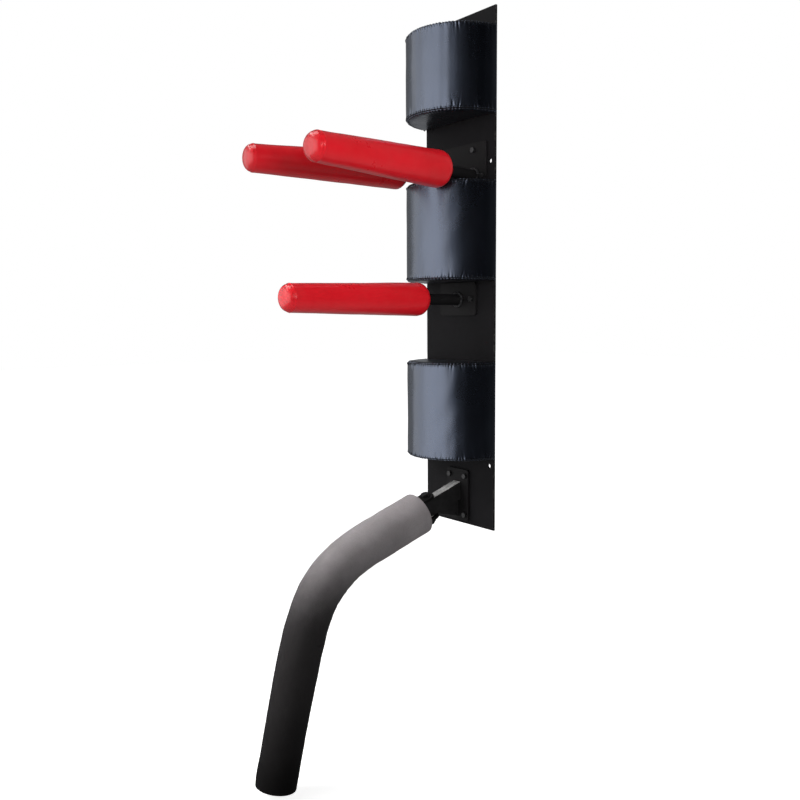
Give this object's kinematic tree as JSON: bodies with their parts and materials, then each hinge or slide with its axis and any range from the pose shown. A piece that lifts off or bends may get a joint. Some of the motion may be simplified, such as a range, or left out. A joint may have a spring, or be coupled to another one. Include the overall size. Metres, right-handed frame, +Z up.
{
  "type": "wooden wing dummy",
  "caption": "Wall-mounted half-body training dummy: flat back board, half-round padded cushions, padded straight arms on posts, and a bent padded leg that swings on a bolt.",
  "frame": {"origin": "centre of the flat back face of the back board, which lies on the wall", "axes": "+Y out of the back face into the wall, +Z up along the board, arms and leg reach out along -Y"},
  "size_m": [0.257, 0.4833, 1.4222],
  "materials": {
    "black_steel": "satin black powder coat",
    "dark_steel": "blackened",
    "zinc_steel": "zinc plated",
    "slate_leather": "glossy slate-black synthetic leather",
    "red_vinyl": "glossy smooth red vinyl",
    "grey_foam": "matte closed-cell foam",
    "padding_foam": "open-cell foam, hidden",
    "hardwood": "bare, hidden",
    "white_nylon": "satin",
    "black_plastic": "matte"
  },
  "bodies": {
    "frame": {"back_board": "black_steel", "cushion_top_cover": "slate_leather", "cushion_top_upper_panel": "slate_leather", "cushion_top_lower_panel": "slate_leather", "cushion_top_foam": "padding_foam", "cushion_top_core": "hardwood", "cushion_top_upper_screw": "zinc_steel", "cushion_top_lower_screw": "zinc_steel", "cushion_middle_cover": "slate_leather", "cushion_middle_upper_panel": "slate_leather", "cushion_middle_lower_panel": "slate_leather", "cushion_middle_foam": "padding_foam", "cushion_middle_core": "hardwood", "cushion_middle_upper_screw": "zinc_steel", "cushion_middle_lower_screw": "zinc_steel", "cushion_lower_cover": "slate_leather", "cushion_lower_upper_panel": "slate_leather", "cushion_lower_lower_panel": "slate_leather", "cushion_lower_foam": "padding_foam", "cushion_lower_core": "hardwood", "cushion_lower_upper_screw": "zinc_steel", "cushion_lower_lower_screw": "zinc_steel", "upper_arm_bracket": "black_steel", "upper_arm_bracket_bolt_1": "dark_steel", "upper_arm_bracket_bolt_2": "dark_steel", "upper_arm_bracket_bolt_3": "dark_steel", "upper_arm_bracket_bolt_4": "dark_steel", "middle_arm_bracket": "black_steel", "middle_arm_bracket_bolt_1": "dark_steel", "middle_arm_bracket_bolt_2": "dark_steel", "arm_upper_left_sleeve": "red_vinyl", "arm_upper_left_padding": "padding_foam", "arm_upper_left_core": "hardwood", "arm_upper_left_post": "black_steel", "arm_upper_left_pin": "zinc_steel", "arm_upper_right_sleeve": "red_vinyl", "arm_upper_right_padding": "padding_foam", "arm_upper_right_core": "hardwood", "arm_upper_right_post": "black_steel", "arm_upper_right_pin": "zinc_steel", "arm_middle_sleeve": "red_vinyl", "arm_middle_padding": "padding_foam", "arm_middle_core": "hardwood", "arm_middle_post": "black_steel", "arm_middle_pin": "zinc_steel", "leg_bracket": "black_steel", "leg_bracket_bolt_1": "dark_steel", "leg_bracket_bolt_2": "dark_steel", "leg_bracket_bolt_3": "dark_steel", "leg_bracket_bolt_4": "dark_steel", "leg_lug": "black_steel"},
    "leg": {"leg_fork": "black_steel", "leg_pivot_bolt": "dark_steel", "leg_pivot_nut": "dark_steel", "leg_upper_washer": "white_nylon", "leg_lower_washer": "white_nylon", "leg_tube": "black_steel", "leg_foam": "grey_foam", "leg_end_plug": "black_plastic"}
  },
  "joints": [
    {"name": "leg_swing", "type": "hinge", "parent": "frame", "child": "leg", "pos_m": [0, -0.0882, -0.4574], "axis": [0, -0.3064, 0.9519], "range_deg": [-45, 45]}
  ]
}
